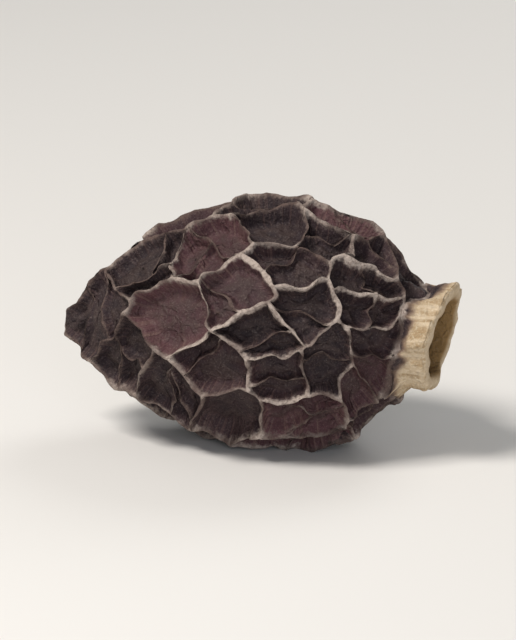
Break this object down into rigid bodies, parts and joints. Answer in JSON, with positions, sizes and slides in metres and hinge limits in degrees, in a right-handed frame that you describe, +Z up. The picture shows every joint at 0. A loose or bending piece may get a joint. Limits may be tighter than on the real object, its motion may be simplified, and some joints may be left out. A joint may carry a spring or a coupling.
{
  "type": "dried morel mushroom",
  "caption": "Dried black morel lying on its side: a hollow cap covered in deep pits between thin ridges, and a short cut stem stub with an open end.",
  "frame": {"origin": "on the surface that the mushroom lies on, below the middle of its bounding box", "axes": "+X from the cap's tip to the stem's cut end, +Z up, -Y towards the side that the picture shows"},
  "size_m": [0.0388, 0.0234, 0.0233],
  "materials": {
    "dried_morel_flesh": "dull, dry and finely wrinkled"
  },
  "bodies": {
    "root": {"morel": "dried_morel_flesh"}
  },
  "joints": []
}
